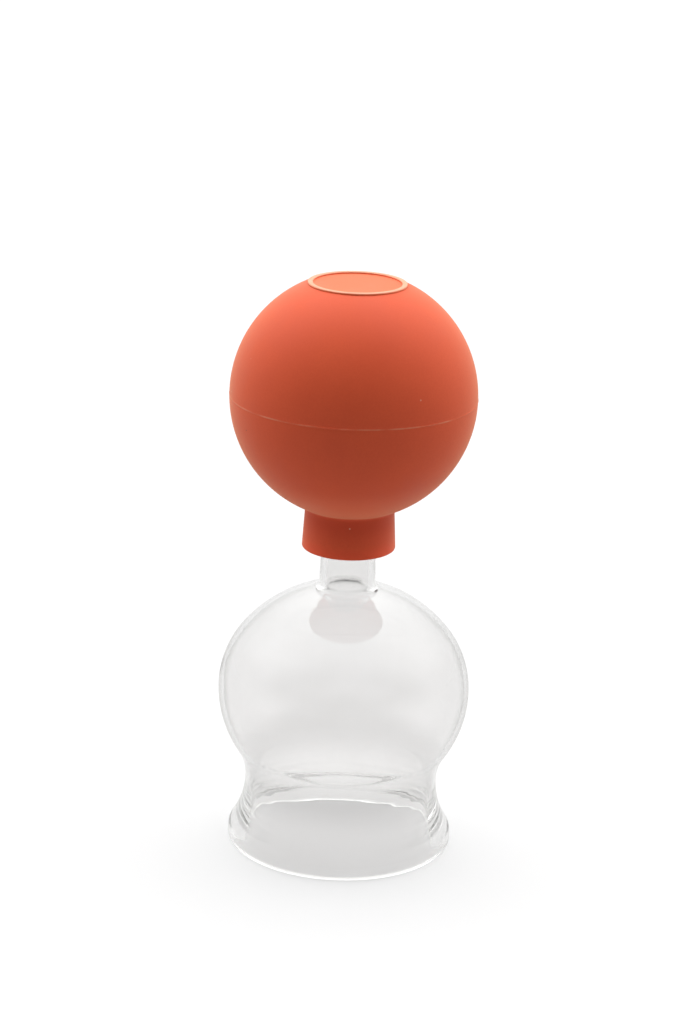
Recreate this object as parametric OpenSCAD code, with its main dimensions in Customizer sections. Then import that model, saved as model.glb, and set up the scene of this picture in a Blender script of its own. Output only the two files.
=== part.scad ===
// Cupping glass with a rubber ball.
// A blown glass bell stands on its rounded lip. Its neck is a short glass tube, gripped by the
// sleeve of a hollow rubber ball. Pressing the crown of the ball drives air out of the bell,
// and the ball draws the skin in when it springs back.
// Millimetres, +Z up, origin at the centre of the mouth on the plane that the lip stands on.

/* [Glass bell] */
// Inner diameter of the mouth
mouth_d = 50; // [46:0.5:52]
// Thickness of the lip where it meets the skin
lip_t = 3; // [2.6:0.1:3.6]
// Height of the widest part of the lip
lip_h = 2.6; // [1.6:0.1:3.2]
// Radius of the rolled outside of the lip
lip_roll_r = 2.8; // [2.4:0.1:4.6]
// Radius of the fire-polished edges under the lip
lip_edge_r = 1.3; // [0.8:0.1:1.3]
// Outer diameter of the waist
waist_d = 48; // [45:0.5:49]
// Height of the waist above the lip
waist_z = 16.4; // [14.4:0.2:18.6]
// Outer diameter of the belly
belly_d = 62.4; // [58:0.2:68]
// Height of the widest part of the belly
belly_z = 40.3; // [37.8:0.1:44]
// Radius of the belly's outline below its widest part
lower_belly_r = 28; // [24:0.5:30]
// Radius of the belly's outline above its widest part
upper_belly_r = 23; // [20:0.5:25]
// Height of the dome above the widest part of the belly
dome_h = 27; // [25.5:0.1:30]
// Thickness of the bell's wall
bell_wall = 1.2; // [0.9:0.1:1.6]

/* [Glass neck] */
// Outer diameter of the seat that the rubber sleeve grips
neck_d = 13.4; // [12.4:0.1:13.8]
// Outer diameter of the neck where it leaves the dome
neck_foot_d = 14; // [13.8:0.1:16]
// Diameter of the air passage through the neck
neck_bore_d = 10.4; // [7:0.1:10.6]
// Radius of the fillet between the neck and the dome
neck_fillet_r = 1.4; // [0.8:0.1:2.4]
// Radius of the throat where the air passage opens into the bell
throat_r = 2.8; // [2:0.1:4.4]
// Length of neck left bare between the dome and the sleeve
neck_bare_l = 9.8; // [7:0.1:14]
// Length of neck inside the sleeve
neck_seat_l = 11.4; // [8:0.1:12]
// Radius of the fire-polished edges of the neck
neck_edge_r = 0.6; // [0.3:0.1:0.8]

/* [Rubber ball] */
// Outer diameter of the ball
ball_d = 60; // [54:0.5:70]
// Thickness of the ball's wall
ball_wall = 3; // [2.2:0.1:3.6]
// Length of the sleeve below the ball
sleeve_l = 10.4; // [8:0.1:14]
// Outer diameter of the sleeve where it meets the ball
sleeve_top_d = 21.9; // [20:0.1:25]
// Outer diameter of the sleeve at its open end
sleeve_end_d = 22.9; // [21:0.1:27]
// Radius of the corner between the sleeve and the ball
sleeve_corner_r = 0.9; // [0.4:0.1:2]
// Radius of the edges at the open end of the sleeve
sleeve_edge_r = 0.4; // [0.2:0.1:0.8]
// Clearance all round between the sleeve and the neck
grip_gap = 0.05; // [0.02:0.01:0.09]
// Height of the flash left along the mould's parting line
flash_h = 0.16; // [0.05:0.01:0.4]
// Width of the flash left along the mould's parting line
flash_w = 0.6; // [0.3:0.1:1.2]

/* [Crown] */
// Diameter of the crown that the thumb presses
crown_d = 24; // [20:0.2:30]
// Width of the raised ring round the crown
ring_w = 1.4; // [0.8:0.1:2.4]
// Height of the raised ring above the foot of the crown
ring_h = 0.5; // [0.3:0.05:1]
// Depth of the crown's face below the top of the ring
face_depth = 0.45; // [0.2:0.05:0.8]
// Clearance all round between the crown and the wall that folds round it
crown_gap = 0.05; // [0.02:0.01:0.1]

/* [Hidden] */

// How far a chord may lie from the arc that it stands for
chord_error = 0.01;
turn_fn = 128;

glass_colour = [0.90, 0.93, 0.93, 0.35];
rubber_colour = [0.85, 0.30, 0.19];
worn_rubber_colour = [0.93, 0.46, 0.34];

// Points along an arc about a centre, from one angle to another, with the ends included
function arc(centre, r, from, to) =
    let (step = 2 * acos(1 - chord_error / r))
    let (n = max(2, ceil(abs(to - from) / step)))
    [for (i = [0 : n])
        let (a = from + (to - from) * i / n)
        centre + r * [cos(a), sin(a)]];

// Direction from one point to another, in degrees
function bearing(from, to) = atan2(to.y - from.y, to.x - from.x);

// Rise of a circle of radius r at a distance x from its centre line
function rise(r, x) = sqrt(r * r - x * x);

// Radius of the arc that leaves a vertical wall with an offset of dx and a height of dz and
// ends tangent to a circle of radius r. The sign is 1 where the circle lies inside the arc
// and -1 where the two touch from outside.
function tangent_r(dx, dz, r, sign) = (dx * dx + dz * dz - r * r) / (2 * (dx - sign * r));

// Glass bell: radii and arc centres
mouth_r = mouth_d / 2;
rim_r = mouth_r + lip_t;
waist_r = waist_d / 2;
waist_in_r = waist_r - bell_wall;
belly_r = belly_d / 2;

lip_out_c = [rim_r - lip_edge_r, lip_edge_r];
lip_in_c = [mouth_r + lip_edge_r, lip_edge_r];
lip_roll_c = [rim_r - lip_roll_r, lip_h];

flare_r = tangent_r(lip_roll_c.x - waist_r, waist_z - lip_h, lip_roll_r, -1);
flare_c = [waist_r + flare_r, waist_z];
flare_in_r = tangent_r(lip_in_c.x - waist_in_r, waist_z - lip_edge_r, lip_edge_r, 1);
flare_in_c = [waist_in_r + flare_in_r, waist_z];

lower_belly_c = [belly_r - lower_belly_r, belly_z];
upper_belly_c = [belly_r - upper_belly_r, belly_z];

waist_arc_r = tangent_r(lower_belly_c.x - waist_r, belly_z - waist_z, lower_belly_r, -1);
waist_arc_c = [waist_r + waist_arc_r, waist_z];

shoulder_r = (pow(upper_belly_c.x, 2) + pow(dome_h, 2) - pow(upper_belly_r, 2)) / (2 * (dome_h - upper_belly_r));
shoulder_c = [0, belly_z + dome_h - shoulder_r];
dome_top_z = belly_z + dome_h;

// Glass neck: radii, fillets and heights
neck_r = neck_d / 2;
neck_foot_r = neck_foot_d / 2;
neck_bore_r = neck_bore_d / 2;
neck_round_r = min(neck_edge_r, 0.45 * (neck_r - neck_bore_r));
neck_fillet_c = [neck_foot_r + neck_fillet_r,
    shoulder_c.y + rise(shoulder_r + neck_fillet_r, neck_foot_r + neck_fillet_r)];
throat_c = [neck_bore_r + throat_r,
    shoulder_c.y + rise(shoulder_r - bell_wall + throat_r, neck_bore_r + throat_r)];
sleeve_z = dome_top_z + neck_bare_l;
neck_top_z = sleeve_z + neck_seat_l;
// The seat starts a little below the sleeve, so that the grip lies on a true cylinder
seat_lead = 1;
seat_z = sleeve_z - seat_lead;

// Rubber ball: radii and heights
ball_r = ball_d / 2;
ball_in_r = ball_r - ball_wall;
sleeve_top_r = sleeve_top_d / 2;
sleeve_end_r = sleeve_end_d / 2;
sleeve_bore_r = neck_r + grip_gap;
ball_z = sleeve_z + sleeve_l + rise(ball_r, sleeve_top_r);
ball_c = [0, ball_z];
sleeve_corner_c = [sleeve_top_r + sleeve_corner_r,
    ball_z - rise(ball_r + sleeve_corner_r, sleeve_top_r + sleeve_corner_r)];
sleeve_in_round_c = [sleeve_bore_r + sleeve_edge_r,
    ball_z - rise(ball_in_r + sleeve_edge_r, sleeve_bore_r + sleeve_edge_r)];

// Crown: radii and heights
crown_r = crown_d / 2;
crown_hole_r = crown_r + crown_gap;
crown_foot_z = ball_z + rise(ball_r, crown_r);
crown_under_z = ball_z + rise(ball_in_r, crown_r);
ring_top_z = crown_foot_z + ring_h;
ring_in_r = crown_r - ring_w;
ring_edge_r = 0.9 * min(ring_w / 2, ring_h, face_depth);

// Outline of the bell and neck, up the outside from the lip to the top of the neck
glass_outside = concat(
    arc(lip_out_c, lip_edge_r, -90, 0),
    arc(lip_roll_c, lip_roll_r, 0, bearing(lip_roll_c, flare_c)),
    arc(flare_c, flare_r, 180 + bearing(lip_roll_c, flare_c), 180),
    arc(waist_arc_c, waist_arc_r, 180, 180 + bearing(lower_belly_c, waist_arc_c)),
    arc(lower_belly_c, lower_belly_r, bearing(lower_belly_c, waist_arc_c), 0),
    arc(upper_belly_c, upper_belly_r, 0, bearing(shoulder_c, upper_belly_c)),
    arc(shoulder_c, shoulder_r, bearing(shoulder_c, upper_belly_c), bearing(shoulder_c, neck_fillet_c)),
    arc(neck_fillet_c, neck_fillet_r, 180 + bearing(shoulder_c, neck_fillet_c), 180),
    [[neck_r, seat_z]],
    arc([neck_r - neck_round_r, neck_top_z - neck_round_r], neck_round_r, 0, 90));

// The same outline, down the inside from the top of the neck to the lip
glass_inside = concat(
    arc([neck_bore_r + neck_round_r, neck_top_z - neck_round_r], neck_round_r, 90, 180),
    arc(throat_c, throat_r, 180, 180 + bearing(shoulder_c, throat_c)),
    arc(shoulder_c, shoulder_r - bell_wall, bearing(shoulder_c, throat_c), bearing(shoulder_c, upper_belly_c)),
    arc(upper_belly_c, upper_belly_r - bell_wall, bearing(shoulder_c, upper_belly_c), 0),
    arc(lower_belly_c, lower_belly_r - bell_wall, 0, bearing(lower_belly_c, waist_arc_c)),
    arc(waist_arc_c, waist_arc_r + bell_wall, 180 + bearing(lower_belly_c, waist_arc_c), 180),
    arc(flare_in_c, flare_in_r, 180, 180 + bearing(lip_in_c, flare_in_c)),
    arc(lip_in_c, lip_edge_r, 180 + bearing(lip_in_c, flare_in_c), 270));

// Outline of the ball's lower half, up the outside from the sleeve to the parting line
lower_half_outside = concat(
    arc([sleeve_end_r - sleeve_edge_r, sleeve_z + sleeve_edge_r], sleeve_edge_r, -90, 0),
    arc(sleeve_corner_c, sleeve_corner_r, 180, bearing(sleeve_corner_c, ball_c)),
    arc(ball_c, ball_r, bearing(ball_c, sleeve_corner_c), -flash_w / 2 / ball_r * 180 / PI),
    [[ball_r + flash_h, ball_z]]);

// The same outline, down the inside from the parting line to the end of the sleeve
lower_half_inside = concat(
    arc(ball_c, ball_in_r, 0, bearing(ball_c, sleeve_in_round_c)),
    arc(sleeve_in_round_c, sleeve_edge_r, 180 + bearing(ball_c, sleeve_in_round_c), 180),
    arc([sleeve_bore_r + sleeve_edge_r, sleeve_z + sleeve_edge_r], sleeve_edge_r, 180, 270));

// Outline of the ball's upper half, from the parting line to the hole that the crown fills
upper_half_outline = concat(
    [[ball_r + flash_h, ball_z]],
    arc(ball_c, ball_r, flash_w / 2 / ball_r * 180 / PI, acos(crown_hole_r / ball_r)),
    arc(ball_c, ball_in_r, acos(crown_hole_r / ball_in_r), 0));

// Outline of the crown: a flat face inside a raised ring with rounded edges
crown_outline = concat(
    [[0, crown_under_z], [crown_r, crown_under_z]],
    arc([crown_r - ring_edge_r, ring_top_z - ring_edge_r], ring_edge_r, 0, 90),
    arc([ring_in_r + ring_edge_r, ring_top_z - ring_edge_r], ring_edge_r, 90, 180),
    [[ring_in_r, ring_top_z - face_depth], [0, ring_top_z - face_depth]]);

module turned(outline) {
    rotate_extrude($fn = turn_fn) polygon(outline);
}

module glass_cup() {
    color(glass_colour) turned(concat(glass_outside, glass_inside));
}

module bulb_lower_half() {
    color(rubber_colour) turned(concat(lower_half_outside, lower_half_inside));
}

module bulb_upper_half() {
    color(rubber_colour) turned(upper_half_outline);
}

module bulb_crown() {
    color(worn_rubber_colour) turned(crown_outline);
}

glass_cup();
bulb_lower_half();
bulb_upper_half();
bulb_crown();
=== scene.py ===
# %% [markdown]
# # A cupping glass with a rubber ball
#
# A cupping glass is a small blown bell that is set on the skin. Squeezing the rubber ball drives air
# out, and as the ball springs back it draws the skin up into the bell. This lesson dresses the packed
# part: the solids give every size and place, and the cells below give the surfaces their finish.

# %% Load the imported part
import math

import bmesh
import bpy
from mathutils import Euler, Matrix, Vector, noise


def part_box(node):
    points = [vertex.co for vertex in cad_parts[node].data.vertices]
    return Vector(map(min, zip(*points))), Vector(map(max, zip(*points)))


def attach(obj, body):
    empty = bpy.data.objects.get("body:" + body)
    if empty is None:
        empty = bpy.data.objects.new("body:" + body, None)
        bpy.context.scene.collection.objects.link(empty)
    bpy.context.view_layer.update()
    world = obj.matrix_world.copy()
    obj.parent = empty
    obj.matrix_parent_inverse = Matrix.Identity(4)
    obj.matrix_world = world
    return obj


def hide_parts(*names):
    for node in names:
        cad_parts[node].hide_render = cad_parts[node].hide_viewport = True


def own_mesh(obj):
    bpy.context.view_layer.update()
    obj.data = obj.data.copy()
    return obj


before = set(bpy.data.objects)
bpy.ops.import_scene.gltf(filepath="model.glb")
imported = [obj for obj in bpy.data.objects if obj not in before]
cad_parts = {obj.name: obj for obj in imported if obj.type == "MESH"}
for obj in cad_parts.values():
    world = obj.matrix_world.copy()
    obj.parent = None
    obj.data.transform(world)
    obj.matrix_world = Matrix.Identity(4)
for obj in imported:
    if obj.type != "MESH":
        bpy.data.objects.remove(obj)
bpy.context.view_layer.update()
MM = 0.001

# %% [markdown]
# ## The camera
#
# The photograph was taken from a little above, with the camera turned slightly, so the object leans to
# the right. A long lens is assumed. With it, the distance and the angles were worked out from the
# outlines of the ball, the sleeve and the lip. The camera stands a little to the left, because the
# object isn't quite in the middle of the frame.

# %% Camera at the photograph's view
LENS_MM = 100
SENSOR_MM = 36
CAMERA_PLACE = Vector((-2.0, -661.5, 297.8)) * MM
CAMERA_PITCH = math.radians(17.77)
CAMERA_ROLL = math.radians(1.95)

camera_data = bpy.data.cameras.new("photo_camera")
camera_data.lens = LENS_MM
camera_data.sensor_width = SENSOR_MM
camera = bpy.data.objects.new("photo_camera", camera_data)
looking_ahead = Euler((math.pi / 2 - CAMERA_PITCH, 0, 0)).to_matrix().to_4x4()
leaning = Matrix.Rotation(CAMERA_ROLL, 4, "Z")
camera.matrix_world = Matrix.Translation(CAMERA_PLACE) @ looking_ahead @ leaning
bpy.context.scene.collection.objects.link(camera)
bpy.context.scene.camera = camera
bpy.context.scene.view_settings.view_transform = "Standard"
print("camera stands", round(CAMERA_PLACE.length, 3), "m from the mouth's centre")

# %% [markdown]
# ## Letting light run through the glass
#
# Light that enters the edge of a glass wall is thrown back and forth between its two faces many times
# before it leaves, most of all at the lip and the neck. A path that is given up after a dozen turns comes
# out black there. Allowing more turns costs a little time and keeps the glass clear.

# %% More turns for each path of light
MOST_TURNS = 32
MIRROR_TURNS = 24

paths = bpy.context.scene.cycles
paths.max_bounces = MOST_TURNS
paths.transmission_bounces = MOST_TURNS
paths.glossy_bounces = MIRROR_TURNS
print("a path of light may turn", MOST_TURNS, "times")

# %% [markdown]
# ## A light tent
#
# Clear glass shows only what is around it. The photograph's light is that of a white tent with an opening
# for the camera: the edges of the ball are lit from the sides and from above, and its front is darker.
# A ring of lamps could do it, but lamps leave hard spots in the glass. So the world itself is the tent:
# its brightness depends on the direction, with a soft dark opening at the front and a brighter top. Low
# down, the opening fades to a paler sill, so that the bell mirrors no hard line along the horizon.
# Looked at past the edge of the floor, as from low at the side, the tent is plain white.

# %% Helpers: place a node with its values, and wire it
def add_node(tree, kind, **values):
    """A new node. A value named after an input sets that socket, and any other sets a property."""
    node = tree.nodes.new(kind)
    for name, value in values.items():
        plain = name.replace("_", " ").lower()
        sockets = [s for s in node.inputs if s.name.lower() == plain and s.enabled]
        if sockets:
            sockets[0].default_value = value
        else:
            setattr(node, name, value)
    return node


def feed(tree, source, target):
    """Links a socket to a target, or sets the target to a plain value."""
    if isinstance(source, bpy.types.NodeSocket):
        tree.links.new(source, target)
    else:
        target.default_value = source


print("nodes can now be placed and wired in one line each")

# %% Helpers: a sum, a smooth ramp and a blend of two numbers
def maths(tree, operation, first, second):
    """The output of a Math node that works on two sockets or numbers."""
    node = add_node(tree, "ShaderNodeMath", operation=operation)
    feed(tree, first, node.inputs[0])
    feed(tree, second, node.inputs[1])
    return node.outputs[0]


def spread(tree, value, low, high, to_low=0.0, to_high=1.0):
    """The output of a smooth Map Range from low..high to to_low..to_high."""
    node = add_node(tree, "ShaderNodeMapRange", interpolation_type="SMOOTHSTEP")
    for source, label in ((value, "Value"), (low, "From Min"), (high, "From Max")):
        feed(tree, source, node.inputs[label])
    feed(tree, to_low, node.inputs["To Min"])
    feed(tree, to_high, node.inputs["To Max"])
    return node.outputs["Result"]


def blend(tree, first, second, amount):
    """The output of a Mix node that goes from the first number to the second by an amount."""
    node = add_node(tree, "ShaderNodeMix")
    for source, label in ((amount, "Factor"), (first, "A"), (second, "B")):
        feed(tree, source, node.inputs[label])
    return node.outputs["Result"]


print("numbers can now be worked out in nodes")

# %% The tent's brightness by direction
TENT_DARK = 0.03
TENT_SIDE = 1.0
TENT_TOP = 3.12
TENT_WHITE = 1.0
CLOTH = (0.1, 1.0)
OPENING = Vector((0, -0.97, -0.24))
OPENING_EDGE = (-0.48, 0.48)
SILL = (0.0, 0.3)
SILL_LEFT = 0.4

world = bpy.data.worlds.new("light_tent")
bpy.context.scene.world = world
world.use_nodes = True
tree = world.node_tree
background = tree.nodes["Background"]
background.inputs["Color"].default_value = (1, 1, 1, 1)
direction = add_node(tree, "ShaderNodeTexCoord").outputs["Generated"]
towards = add_node(tree, "ShaderNodeVectorMath", operation="DOT_PRODUCT")
towards.inputs[1].default_value = OPENING
climb = add_node(tree, "ShaderNodeSeparateXYZ")
tree.links.new(direction, towards.inputs[0])
tree.links.new(direction, climb.inputs[0])
opening = spread(tree, towards.outputs["Value"], *OPENING_EDGE)
sill = spread(tree, climb.outputs["Z"], *SILL, SILL_LEFT, 1.0)
cloth = spread(tree, climb.outputs["Z"], *CLOTH, TENT_SIDE, TENT_TOP)
brightness = blend(tree, cloth, TENT_DARK, maths(tree, "MULTIPLY", opening, sill))
looked_at = add_node(tree, "ShaderNodeLightPath").outputs["Is Camera Ray"]
tree.links.new(blend(tree, brightness, TENT_WHITE, looked_at), background.inputs["Strength"])
print("tent from", TENT_DARK, "at the opening to", TENT_TOP, "overhead")

# %% [markdown]
# ## A plain pale floor
#
# The object stands on a white sheet that the light washes out to white. A brighter lamp would also
# bleach the rubber, so the light that the sheet throws on the object comes from a mid tone. What is seen
# of the sheet is a deeper tone, which takes the object's shadow, with a glow over it that lights nothing.
# In the glass the glow is weaker: round the object the photograph's ground is bleached to white, but
# through the bell it is still a pale grey, and so are the edges of the glass.
# Towards the camera, out of the picture, the sheet eases off as it does where the lamps don't reach:
# that keeps the underside of the ball dark in front, and its mirror image in the bell soft.

# %% The floor
FLOOR_HALF = 30.0
FLOOR_DROP = 0.05 * MM
FLOOR_EASE = (-0.5, -0.16)
FLOOR_TONE = (0.13, 0.38)
SEEN_TONE = (0.13, 0.28)
SEEN_GLOW = (0.82, 0.65)
GLASS_SHARE = 0.8

bpy.ops.mesh.primitive_plane_add(size=2 * FLOOR_HALF, location=(0, 0, -FLOOR_DROP))
floor = bpy.context.object
floor.name = "floor"
sheet = bpy.data.materials.new("white_sheet")
sheet.use_nodes = True
tree = sheet.node_tree
shader = tree.nodes["Principled BSDF"]
shader.inputs["Roughness"].default_value = 0.9
shader.inputs["Specular IOR Level"].default_value = 0.0
shader.inputs["Emission Color"].default_value = (1, 1, 1, 1)
spot = add_node(tree, "ShaderNodeSeparateXYZ")
tree.links.new(add_node(tree, "ShaderNodeTexCoord").outputs["Object"], spot.inputs[0])
tone = spread(tree, spot.outputs["Y"], *FLOOR_EASE, *FLOOR_TONE)
seen_tone = spread(tree, spot.outputs["Y"], *FLOOR_EASE, *SEEN_TONE)
seen_glow = spread(tree, spot.outputs["Y"], *FLOOR_EASE, *SEEN_GLOW)
rays = add_node(tree, "ShaderNodeLightPath").outputs
in_glass = maths(tree, "MAXIMUM", rays["Is Glossy Ray"], rays["Is Transmission Ray"])
seen = maths(tree, "MAXIMUM", in_glass, rays["Is Camera Ray"])
share = maths(tree, "MAXIMUM", maths(tree, "MULTIPLY", in_glass, GLASS_SHARE), rays["Is Camera Ray"])
tree.links.new(blend(tree, tone, seen_tone, seen), shader.inputs["Base Color"])
tree.links.new(maths(tree, "MULTIPLY", seen_glow, share), shader.inputs["Emission Strength"])
floor.data.materials.append(sheet)
print("floor of", 2 * FLOOR_HALF, "m, tone", FLOOR_TONE[1], "round the object")

# %% [markdown]
# ## Reading a turned part's section
#
# Every piece here is round: blown glass and moulded rubber are both shaped about an axis. The packed
# solids hold that shape in flat facets, which would show as bands in clear glass. So the part is folded
# onto one half plane: each point keeps its distance from the axis and its height, and points that fall
# together are welded. What is left is the outline that was turned, ready to be turned again more finely.

# %% Fold a solid onto its half section
WELD = 0.002 * MM


def section_of(node):
    """Corner points of a turned node as (radius, height), in order, and whether they close a loop."""
    folded = bmesh.new()
    folded.from_mesh(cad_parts[node].data)
    for vert in folded.verts:
        vert.co = (math.hypot(vert.co.x, vert.co.y), 0, vert.co.z)
    bmesh.ops.remove_doubles(folded, verts=folded.verts, dist=WELD)
    folded.verts.index_update()
    beside = {v.index: [e.other_vert(v).index for e in v.link_edges] for v in folded.verts}
    points = [Vector((v.co.x, v.co.z)) for v in folded.verts]
    folded.free()
    ends = [i for i in beside if len(beside[i]) == 1]
    order = [min(ends or beside, key=lambda i: tuple(points[i].yx))]
    visited = set(order)
    while True:
        onward = [i for i in beside[order[-1]] if i not in visited]
        if not onward:
            break
        order.append(onward[0])
        visited.add(onward[0])
    outline = [points[i] for i in order]
    if ends:
        outline = [Vector((0, outline[0].y))] + outline + [Vector((0, outline[-1].y))]
    return outline, not ends


for node in sorted(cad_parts):
    outline, closed = section_of(node)
    print(node, "has", len(outline), "corners, closed" if closed else "corners, open at the axis")

# %% [markdown]
# ## Rounding the outline
#
# The outline still has the flat chords of the solid. A curve through its corners brings the arcs back:
# at each corner the curve runs along the line between the corners on either side, and a corner that
# turns by more than a set angle is a real edge, where the curve is allowed to break.

# %% Draw a smooth curve through the corners
EDGE_TURN = math.radians(25)
STRAIGHT_TURN = math.radians(0.05)
BEND_STEP = math.radians(7)
SPACING = {
    "glass_cup": 0.75 * MM,
    "bulb_lower_half": 1.0 * MM,
    "bulb_upper_half": 1.0 * MM,
    "bulb_crown": 0.5 * MM,
}


def turn_at(before, here, after):
    """Angle by which the outline turns at a corner."""
    return abs((here - before).angle_signed(after - here, 0))


def without_straights(outline, closed):
    """The outline without the points that lie along a straight run."""
    count = len(outline)
    kept = []
    for i, here in enumerate(outline):
        end = not closed and i in (0, count - 1)
        if end or turn_at(outline[i - 1], here, outline[(i + 1) % count]) > STRAIGHT_TURN:
            kept.append(here)
    return kept


def rounded(outline, closed, spacing):
    """Points along a smooth curve through the corners, about spacing apart."""
    corners = without_straights(outline, closed)
    count = len(corners)
    along = []
    for i, here in enumerate(corners):
        after = corners[(i + 1) % count]
        if closed or 0 < i < count - 1:
            edge = turn_at(corners[i - 1], here, after) > EDGE_TURN
            along.append(None if edge else (after - corners[i - 1]).normalized())
        else:
            along.append(None)
    curve = []
    for i in range(count if closed else count - 1):
        here, after = corners[i], corners[(i + 1) % count]
        span = (after - here).length
        chord = (after - here) / span
        leave, arrive = along[i], along[(i + 1) % count]
        if leave is None:
            leave = chord if arrive is None else 2 * chord.dot(arrive) * chord - arrive
        if arrive is None:
            arrive = 2 * chord.dot(leave) * chord - leave
        bend = leave.angle(arrive, 0)
        steps = max(1, math.ceil(span / spacing), math.ceil(bend / BEND_STEP))
        for k in range(steps):
            t = k / steps
            u = 1 - t
            leaving = 3 * u * u * t * (here + leave * span / 3)
            arriving = 3 * u * t * t * (after - arrive * span / 3)
            curve.append(u * u * u * here + (leaving + arriving) + t * t * t * after)
    if not closed:
        curve.append(corners[-1])
    widest = max(p.x for p in corners)
    lowest = min(p.y for p in corners)
    highest = max(p.y for p in corners)
    return [Vector((min(p.x, widest), min(max(p.y, lowest), highest))) for p in curve]


for node in sorted(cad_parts):
    print(node, "is drawn with", len(rounded(*section_of(node), SPACING[node])), "points")

# %% [markdown]
# ## Turning the outline
#
# Glass is blown while the pipe turns, and the mould for the ball is cut on a lathe. Blender's Screw
# modifier with no climb is a lathe too, and much quicker than a spin in code. Its result is kept as a
# plain mesh. Edges sharper than the set angle are marked, so that the smooth shading breaks there only.

# %% Turn an outline into a piece
ROUND_STEPS = 240


def turned(name, node, shape=None):
    """A piece turned from a node's outline. The function shape may move each point."""
    outline, closed = section_of(node)
    curve = rounded(outline, closed, SPACING[node])
    lines = [(i, i + 1) for i in range(len(curve) - 1)] + ([(len(curve) - 1, 0)] if closed else [])
    template = bpy.data.meshes.new(name + "_outline")
    template.from_pydata([(p.x, 0, p.y) for p in curve], lines, [])
    piece = bpy.data.objects.new(name, template)
    bpy.context.scene.collection.objects.link(piece)
    lathe = piece.modifiers.new("lathe", "SCREW")
    lathe.axis = "Z"
    lathe.steps = ROUND_STEPS
    lathe.render_steps = ROUND_STEPS
    lathe.use_merge_vertices = True
    lathe.merge_threshold = WELD / 4
    lathe.use_normal_calculate = True
    ready = piece.evaluated_get(bpy.context.evaluated_depsgraph_get())
    mesh = bmesh.new()
    mesh.from_mesh(ready.to_mesh())
    bmesh.ops.recalc_face_normals(mesh, faces=mesh.faces)
    for face in mesh.faces:
        face.smooth = True
    for edge in mesh.edges:
        edge.smooth = edge.calc_face_angle(0) < EDGE_TURN
    if shape:
        mesh.normal_update()
        moved = [shape(vert.co.copy(), vert.normal.copy()) for vert in mesh.verts]
        for vert, place in zip(mesh.verts, moved):
            vert.co = place
    piece.modifiers.remove(lathe)
    piece.data = bpy.data.meshes.new(name)
    mesh.to_mesh(piece.data)
    mesh.free()
    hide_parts(node)
    return piece


print("one turn in", ROUND_STEPS, "steps")

# %% [markdown]
# ## The blown bell
#
# The bell is blown thin and worked by hand while it is hot, so its wall is never quite even, and the
# tool that opens the mouth leaves faint rings on the flare as the glass turns. That is what bends the
# lines seen through it. A bump in the material would only tilt the highlights, so the wall itself is
# moved: by less than a tenth of a millimetre, always into the glass, and differently inside and outside.
# The part of the neck inside the rubber stays true, because it has to fit.

# %% Glass bell
NECK_FOOT = 67.3 * MM
NECK_TRUE = 8 * MM
LIP_TRUE = 3 * MM
WALL_WAVE = 0.07 * MM
SLOW_WAVE = 42
QUICK_WAVE = 110
FACES_DIFFER = 2
FLARE_Z = 11 * MM
FLARE_HALF = 6 * MM
RING_PITCH = 2.4 * MM
RING_DEPTH = 0.022 * MM
RING_WANDER = 0.8
WANDER_WAVE = 40


def blown(place, normal):
    """A point of the bell moved into the wall by the unevenness of blown glass and the tool's rings."""
    slow = noise.noise(place * SLOW_WAVE + normal * FACES_DIFFER)
    quick = noise.noise(place * QUICK_WAVE + normal * FACES_DIFFER)
    wave = min(1, max(0, 0.5 + 0.5 * slow + 0.2 * quick))
    below_neck = min(1, max(0, (NECK_FOOT + NECK_TRUE - place.z) / NECK_TRUE))
    above_lip = min(1, place.z / LIP_TRUE)
    flare = math.exp(-((place.z - FLARE_Z) / FLARE_HALF) ** 2)
    turns = place.z / RING_PITCH + RING_WANDER * noise.noise(place * WANDER_WAVE)
    ring = 0.5 + 0.5 * math.sin(2 * math.pi * turns)
    depth = WALL_WAVE * wave * below_neck + RING_DEPTH * ring * flare
    return place - normal * depth * above_lip


bell = turned("glass_bell", "glass_cup", blown)
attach(bell, "glass")
print("bell of", len(bell.data.polygons), "faces")

# %% [markdown]
# ## The rubber ball
#
# The ball is moulded in two halves of a mould. Where they met, a thin flash of rubber is left that was
# trimmed by hand, so it stands out in some places and is nearly gone in others. Its height here varies
# round the ball by the same rule on both halves, so they meet all the way.

# %% Ball halves with a ragged flash
SEAM_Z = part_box("bulb_lower_half")[1].z
BALL_R = 30.0 * MM
FLASH_HALF = 0.31 * MM
LEAST_FLASH = 0.1
STRETCHES = 2.3
NICKS = 14
NICKS_FROM = Vector((3, 1, 0))


def trimmed(place, normal):
    """A point of the ball with the flash trimmed unevenly round the seam."""
    radius = math.hypot(place.x, place.y)
    proud = radius - BALL_R
    if proud <= 0 or abs(place.z - SEAM_Z) > FLASH_HALF:
        return place
    round_ball = Vector((place.x, place.y, 0)) / radius
    stretches = noise.noise(round_ball * STRETCHES)
    nicks = noise.noise(round_ball * NICKS + NICKS_FROM)
    left = 0.5 + 0.55 * stretches + 0.5 * nicks
    kept = BALL_R + proud * max(LEAST_FLASH, min(1, left))
    return Vector((place.x / radius * kept, place.y / radius * kept, place.z))


lower_half = turned("ball_lower_half", "bulb_lower_half", trimmed)
upper_half = turned("ball_upper_half", "bulb_upper_half", trimmed)
crown = turned("ball_crown", "bulb_crown")
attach(lower_half, "bulb")
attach(upper_half, "bulb")
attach(crown, "crown")
for piece in (lower_half, upper_half, crown):
    print(piece.name, "of", len(piece.data.polygons), "faces")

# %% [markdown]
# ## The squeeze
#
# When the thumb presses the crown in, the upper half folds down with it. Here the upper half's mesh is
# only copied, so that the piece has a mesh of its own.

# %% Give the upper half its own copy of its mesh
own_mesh(upper_half)

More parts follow.
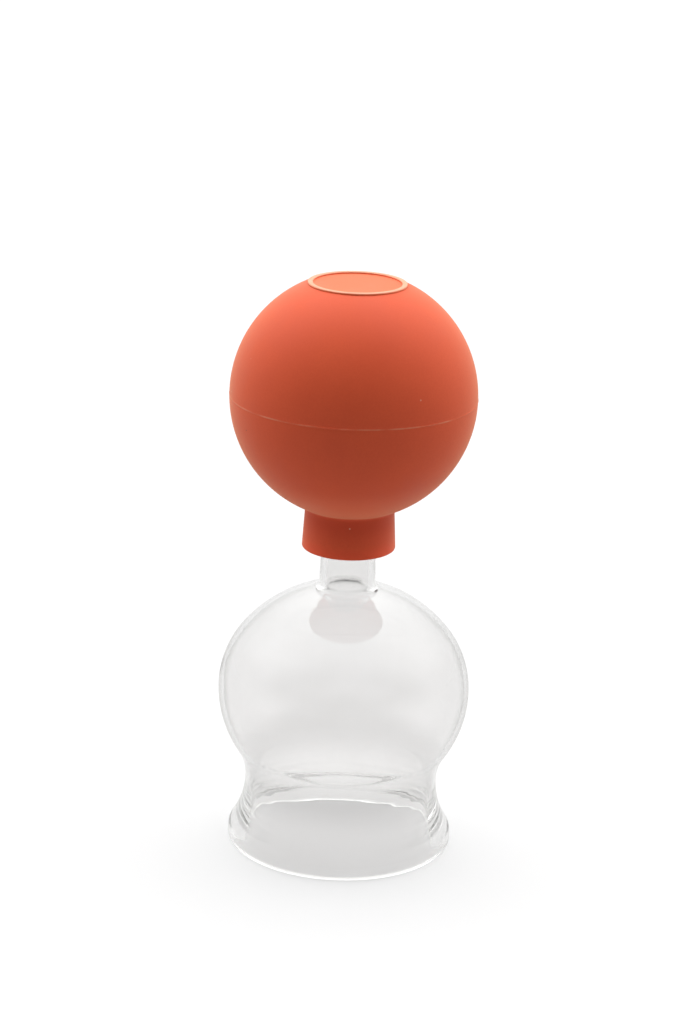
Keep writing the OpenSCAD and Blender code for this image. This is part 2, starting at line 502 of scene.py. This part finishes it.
# %% [markdown]
# ## Surface effects that the materials share
#
# Four small effects are enough for both materials, so each is a node group with its own sizes to set.
# Clouds are soft patches, such as handled rubber or a film on glass. Grain is the fine tooth of a
# surface. Specks are single grains of dust, scattered so that most places have none. A ramp grows from
# one height to another, which finds a seam, a ring or a lip on a turned part. All of them read the
# piece's own coordinates in metres, so they stay in place when the piece moves.

# %% Helper: an empty group
def new_group(name, inputs, output):
    """An empty node group with number inputs and one number output. Gives the tree and its two ends."""
    group = bpy.data.node_groups.new(name, "ShaderNodeTree")
    for label, value in inputs.items():
        socket = group.interface.new_socket(label, in_out="INPUT", socket_type="NodeSocketFloat")
        socket.default_value = value
    group.interface.new_socket(output, in_out="OUTPUT", socket_type="NodeSocketFloat")
    return group, group.nodes.new("NodeGroupInput").outputs, group.nodes.new("NodeGroupOutput").inputs


print("groups can now be made")

# %% Group: clouds
clouds, given, result = new_group("clouds", {"Size": 0.02, "Low": 0.35, "High": 0.65}, "Amount")
place = add_node(clouds, "ShaderNodeTexCoord").outputs["Object"]
patches = add_node(clouds, "ShaderNodeTexNoise", detail=4.0, roughness=0.55)
clouds.links.new(place, patches.inputs["Vector"])
clouds.links.new(maths(clouds, "DIVIDE", 1.0, given["Size"]), patches.inputs["Scale"])
clouds.links.new(spread(clouds, patches.outputs[0], given["Low"], given["High"]), result["Amount"])
print(clouds.name, "made of", len(clouds.nodes), "nodes")

# %% Group: grain
grain, given, result = new_group("grain", {"Size": 0.0004}, "Height")
place = add_node(grain, "ShaderNodeTexCoord").outputs["Object"]
bumps = add_node(grain, "ShaderNodeTexNoise", detail=2.0, roughness=0.6)
grain.links.new(place, bumps.inputs["Vector"])
grain.links.new(maths(grain, "DIVIDE", 1.0, given["Size"]), bumps.inputs["Scale"])
grain.links.new(bumps.outputs[0], result["Height"])
print(grain.name, "made of", len(grain.nodes), "nodes")

# %% Group: specks
LEAST_WIDTH = 0.4
SPECK_CORE = 0.6

specks, given, result = new_group("specks", {"Spacing": 0.004, "Share": 0.2, "Radius": 0.0002}, "Mask")
place = add_node(specks, "ShaderNodeTexCoord").outputs["Object"]
cells = add_node(specks, "ShaderNodeTexVoronoi")
chance = add_node(specks, "ShaderNodeSeparateXYZ")
specks.links.new(place, cells.inputs["Vector"])
specks.links.new(maths(specks, "DIVIDE", 1.0, given["Spacing"]), cells.inputs["Scale"])
specks.links.new(cells.outputs["Color"], chance.inputs[0])
reach = maths(specks, "MULTIPLY", cells.outputs["Distance"], given["Spacing"])
width = maths(specks, "MULTIPLY", given["Radius"], maths(specks, "ADD", chance.outputs["Y"], LEAST_WIDTH))
speck = spread(specks, reach, width, maths(specks, "MULTIPLY", width, SPECK_CORE))
present = maths(specks, "LESS_THAN", chance.outputs["X"], given["Share"])
specks.links.new(maths(specks, "MULTIPLY", speck, present), result["Mask"])
print(specks.name, "made of", len(specks.nodes), "nodes")

# %% Group: ramp
ramp, given, result = new_group("ramp", {"From": 0.0, "To": 0.01}, "Mask")
place = add_node(ramp, "ShaderNodeTexCoord").outputs["Object"]
height = add_node(ramp, "ShaderNodeSeparateXYZ")
ramp.links.new(place, height.inputs[0])
ramp.links.new(spread(ramp, height.outputs["Z"], given["From"], given["To"]), result["Mask"])
print(ramp.name, "made of", len(ramp.nodes), "nodes")

# %% Helpers: use an effect, weaken it, and lay one colour over another
def effect(tree, group, **sizes):
    """The output of a shared effect with its sizes set."""
    node = add_node(tree, "ShaderNodeGroup", node_tree=group)
    for label, value in sizes.items():
        node.inputs[label].default_value = value
    return node.outputs[0]


def weakened(tree, mask, most, least=0.0):
    """A mask that runs from least to most, instead of from 0 to 1."""
    node = add_node(tree, "ShaderNodeMath", operation="MULTIPLY_ADD")
    feed(tree, mask, node.inputs[0])
    node.inputs[1].default_value = most - least
    node.inputs[2].default_value = least
    return node.outputs[0]


def over(tree, under, colour, amount):
    """The output of a Mix node that lays a colour over another by an amount."""
    node = add_node(tree, "ShaderNodeMix", data_type="RGBA")
    feed(tree, amount, node.inputs[0])
    feed(tree, under, node.inputs[6])
    feed(tree, colour, node.inputs[7])
    return node.outputs[2]


print("effects can now be laid over a colour")

# %% [markdown]
# ## Rubber
#
# Old red rubber is matte. Handling leaves soft patches a little deeper in colour, and a dry bloom pales
# it where light grazes it, which the shader's sheen stands for. The flash along the seam is rubbed pale
# here and there. The top of the raised ring is paler, partly rubbed and partly a painted highlight where
# it faces the light overhead, and the face inside the ring is painted paler as lit from above. Painted
# shade darkens the corner under the ball, painted bounce light from the floor pales the foot of the
# ball, and painted light brightens the end of the sleeve. Each of these has its own height on a turned
# part, so a ramp finds it, and two ramps make a band.

# %% Rubber colours
RUBBER = (0.88, 0.121, 0.045, 1)
HANDLED = (0.79, 0.096, 0.034, 1)
# painted light: the face inside the ring is paler because it faces the light overhead
LIT_FACE = (0.86, 0.154, 0.057, 1)
# partly wear, partly painted highlight: the top of the raised ring is paler where it faces the light
# overhead
RUBBED_AND_LIT = (0.88, 0.44, 0.285, 1)
TRIMMED = (0.88, 0.306, 0.176, 1)
# painted shade: the corner under the ball, where the ball shades the sleeve
SHADED_CORNER = (0.66, 0.078, 0.03, 1)
# painted light: the foot of the ball paled by light bounced up from the floor
BOUNCE_LIT = (1.0, 0.19, 0.085, 1)
# painted light: the end of the sleeve is brighter, as if lit from below
END_LIT = (1.0, 0.12, 0.046, 1)
DUST = (0.95, 0.60, 0.45, 1)
DIRT = (0.20, 0.05, 0.03, 1)
SHEEN = (1.0, 0.58, 0.36, 1)
print("rubber of red, green and blue", RUBBER[:3])

# %% How strongly each finish shows on the rubber
PATCHES_SHOW = 0.6
TOOTH_SHOWS = 0.3
# how strongly the painted shade under the ball shows
CORNER_SHADE_SHOWS = 0.75
# how strongly the painted bounce light on the ball's foot shows
BOUNCE_SHOWS = 0.8
FLASH_SHOWS = (0.82, 0.07)
RING_SHOWS = (1.0, 0.7)
DUST_SHOWS = 0.5
DIRT_SHOWS = 0.6
RUBBER_ROUGH = (0.66, 0.54)
print("the flash shows by", FLASH_SHOWS[1], "to", FLASH_SHOWS[0])

# %% Bands on the ball by height
SLEEVE_LENGTH = 10.4 * MM
RING_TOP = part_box("bulb_crown")[1].z
WALL_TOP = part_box("bulb_upper_half")[1].z
SLEEVE_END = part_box("bulb_lower_half")[0].z
SLEEVE_TOP = SLEEVE_END + SLEEVE_LENGTH
FACE = (WALL_TOP, WALL_TOP + 0.05 * MM)
RING = (RING_TOP - 0.3 * MM, RING_TOP - 0.05 * MM)
SEAM = ((SEAM_Z - 0.3 * MM, SEAM_Z), (SEAM_Z + 0.3 * MM, SEAM_Z))
# FOOT is the band where painted bounce light pales the ball
FOOT = ((SLEEVE_TOP - 0.5 * MM, SLEEVE_TOP + 0.6 * MM), (SLEEVE_TOP + 12 * MM, SLEEVE_TOP + 1 * MM))
# CORNER is the band of painted shade under the ball
CORNER = ((SLEEVE_TOP - 8 * MM, SLEEVE_TOP - 1.5 * MM), (SLEEVE_TOP + 0.6 * MM, SLEEVE_TOP - 1 * MM))
# END is where painted light brightens the end of the sleeve
END = (SLEEVE_END + 4 * MM, SLEEVE_END)


def rise(tree, heights):
    """A mask that grows from the first height to the second."""
    return effect(tree, ramp, From=heights[0], To=heights[1])


def band(tree, below, above):
    """A mask between two ramps, of which one opens it from below and one from above."""
    return maths(tree, "MULTIPLY", rise(tree, below), rise(tree, above))


print("ring top at", round(RING_TOP / MM, 2), "mm, seam at", round(SEAM_Z / MM, 2), "mm")

# %% Rubber material: colour
rubber = bpy.data.materials.new("red_rubber")
rubber.use_nodes = True
tree = rubber.node_tree
shader = tree.nodes["Principled BSDF"]
patchy = effect(tree, clouds, Size=0.028, Low=0.38, High=0.72)
ring_patches = effect(tree, clouds, Size=0.006, Low=0.3, High=0.55)
broken = effect(tree, clouds, Size=0.009, Low=0.42, High=0.66)
tooth = effect(tree, grain, Size=0.0005)
dust = effect(tree, specks, Spacing=0.005, Share=0.5, Radius=0.00024)
dirt = effect(tree, specks, Spacing=0.0071, Share=0.5, Radius=0.00017)
streak = weakened(tree, broken, *FLASH_SHOWS)
ring_paling = weakened(tree, ring_patches, *RING_SHOWS)
colour = over(tree, RUBBER, HANDLED, weakened(tree, patchy, PATCHES_SHOW))
colour = over(tree, colour, HANDLED, spread(tree, tooth, 0.3, 0.7, TOOTH_SHOWS, 0.0))
# painted light: the face inside the ring is made paler, as if lit from above
colour = over(tree, colour, LIT_FACE, rise(tree, FACE))
# painted shade in the corner under the ball
colour = over(tree, colour, SHADED_CORNER, weakened(tree, band(tree, *CORNER), CORNER_SHADE_SHOWS))
# painted bounce light from the floor on the foot of the ball
colour = over(tree, colour, BOUNCE_LIT, weakened(tree, band(tree, *FOOT), BOUNCE_SHOWS))
# painted light on the end of the sleeve
colour = over(tree, colour, END_LIT, rise(tree, END))
colour = over(tree, colour, TRIMMED, maths(tree, "MULTIPLY", band(tree, *SEAM), streak))
# the ring's top is paler in patches: partly rubbed, partly a painted highlight
colour = over(tree, colour, RUBBED_AND_LIT, maths(tree, "MULTIPLY", rise(tree, RING), ring_paling))
colour = over(tree, colour, DUST, weakened(tree, dust, DUST_SHOWS))
colour = over(tree, colour, DIRT, weakened(tree, dirt, DIRT_SHOWS))
tree.links.new(colour, shader.inputs["Base Color"])
print("rubber coloured by", len(tree.nodes), "nodes")

# %% Rubber material: surface
shader.inputs["Specular IOR Level"].default_value = 0.22
shader.inputs["Sheen Weight"].default_value = 0.6
shader.inputs["Sheen Roughness"].default_value = 0.4
shader.inputs["Sheen Tint"].default_value = SHEEN
tree.links.new(spread(tree, patchy, 0.0, 1.0, *RUBBER_ROUGH), shader.inputs["Roughness"])
bump = add_node(tree, "ShaderNodeBump", strength=0.35, distance=0.04 * MM)
tree.links.new(tooth, bump.inputs["Height"])
tree.links.new(bump.outputs["Normal"], shader.inputs["Normal"])
for piece in (lower_half, upper_half, crown):
    piece.data.materials.append(rubber)
print("rubber of", len(tree.nodes), "nodes on three pieces")

# %% [markdown]
# ## Glass
#
# The bell is clear and nearly colourless. The base colour tints light at each surface that it crosses,
# and here it carries painted shade: a grey tint makes what is seen through the belly a pale grey. The
# tint is deeper in patches, deeper still at the waist and the shoulder, and it fades out on the flare
# and the lip, which stay clear. At the edges of the belly, where the glass is seen on the slant, Layer
# Weight finds them and they are painted darker. The specular tint is below white, which dims the mirror
# of the surface, and inside the glass a little light is absorbed.

# %% Glass colours, and bands on the bell by height
CLEAR = (0.995, 0.99, 0.985, 1)
# painted shade: grey tints that darken what is seen through the belly, deeper in patches and at the waist
# and shoulder
BELLY_SHADE = (0.955, 0.951, 0.949, 1)
PATCH_SHADE = (0.931, 0.927, 0.922, 1)
BAND_SHADE = (0.82, 0.817, 0.814, 1)
# painted shade: a dark tint for the edges of the belly, seen on the slant
EDGE_SHADE = (0.3, 0.3, 0.28, 1)
GRIT = (0.35, 0.34, 0.32, 1)
DEPTHS = (0.86, 0.87, 0.85, 1)
MIRROR = (0.6, 0.6, 0.6, 1)
LIP = (2.6 * MM, 1.4 * MM)
SHADE_ABOVE = (8 * MM, 20 * MM)
WAIST = (29 * MM, 18 * MM)
BELLY = ((20 * MM, 32 * MM), (64 * MM, 50 * MM))
SHOULDER = (53 * MM, 63 * MM)
NECK = (63 * MM, 68 * MM)
GRIPPED = (65 * MM, 69 * MM)
print("film from", SHADE_ABOVE[0] / MM, "mm up")

# %% How strongly each finish shows on the glass
SHOULDER_SHOWS = 0.5
NECK_SHOWS = 0.4
GRIT_SHOWS = 0.8
SLANT_EDGE = (0.66, 0.93)
SLANT_WIDE = (0.15, 0.6)
SLANT_WIDE_SHOWS = 0.06
LIP_ROUGH = (0.12, 0.25)
NECK_ROUGH = 0.14
SMEAR_ROUGH = 0.05
print("the lip is scuffed by", LIP_ROUGH[0], "to", LIP_ROUGH[1])

# %% Glass material: the painted grey tint, and grit
glass = bpy.data.materials.new("clear_glass")
glass.use_nodes = True
tree = glass.node_tree
shader = tree.nodes["Principled BSDF"]
glass_clouds = effect(tree, clouds, Size=0.022, Low=0.4, High=0.75)
grit = effect(tree, specks, Spacing=0.0083, Share=0.25, Radius=0.0002)
shade_bands = maths(tree, "MAXIMUM", rise(tree, WAIST), weakened(tree, rise(tree, SHOULDER), SHOULDER_SHOWS))
slant = add_node(tree, "ShaderNodeLayerWeight", blend=0.5).outputs["Facing"]
wide_edge_darkening = spread(tree, slant, *SLANT_WIDE, 0.0, SLANT_WIDE_SHOWS)
edge_darkening = maths(tree, "ADD", spread(tree, slant, *SLANT_EDGE), wide_edge_darkening)
# painted shade: the grey tint on the belly, deeper in patches and bands, fading out lower down
colour = over(tree, BELLY_SHADE, PATCH_SHADE, glass_clouds)
colour = over(tree, colour, BAND_SHADE, shade_bands)
colour = over(tree, CLEAR, colour, rise(tree, SHADE_ABOVE))
colour = over(tree, colour, CLEAR, weakened(tree, rise(tree, NECK), NECK_SHOWS))
# painted shade: the edges of the belly are darkened where the glass is seen on the slant
colour = over(tree, colour, EDGE_SHADE, maths(tree, "MULTIPLY", band(tree, *BELLY), edge_darkening))
colour = over(tree, colour, GRIT, weakened(tree, grit, GRIT_SHOWS))
tree.links.new(colour, shader.inputs["Base Color"])
print("film on the glass of", len(tree.nodes), "nodes")

# %% [markdown]
# ## The feel of the glass
#
# Fire-polished glass is as smooth as glass can be, so most of it stays sharp. Three places don't: the lip
# is scuffed by the tables that it stands on, the neck is dulled by the rubber that grips it, and wiping
# leaves faint smears on the belly. A slow ripple bends the highlights, as in any blown glass.

# %% Glass material: surface and depth
shader.inputs["IOR"].default_value = 1.47
shader.inputs["Transmission Weight"].default_value = 1.0
shader.inputs["Specular Tint"].default_value = MIRROR
smear = effect(tree, clouds, Size=0.012, Low=0.52, High=0.78)
scuffed = maths(tree, "MULTIPLY", rise(tree, LIP), spread(tree, glass_clouds, 0.0, 1.0, *LIP_ROUGH))
dulled = maths(tree, "MAXIMUM", scuffed, weakened(tree, rise(tree, GRIPPED), NECK_ROUGH))
dulled = maths(tree, "MAXIMUM", dulled, weakened(tree, smear, SMEAR_ROUGH))
tree.links.new(dulled, shader.inputs["Roughness"])
bump = add_node(tree, "ShaderNodeBump", strength=0.1, distance=0.05 * MM)
tree.links.new(effect(tree, grain, Size=0.009), bump.inputs["Height"])
tree.links.new(bump.outputs["Normal"], shader.inputs["Normal"])
body = add_node(tree, "ShaderNodeVolumeAbsorption", density=25.0)
body.inputs["Color"].default_value = DEPTHS
tree.links.new(body.outputs["Volume"], tree.nodes["Material Output"].inputs["Volume"])
bell.data.materials.append(glass)
print("glass of", len(tree.nodes), "nodes on the bell")
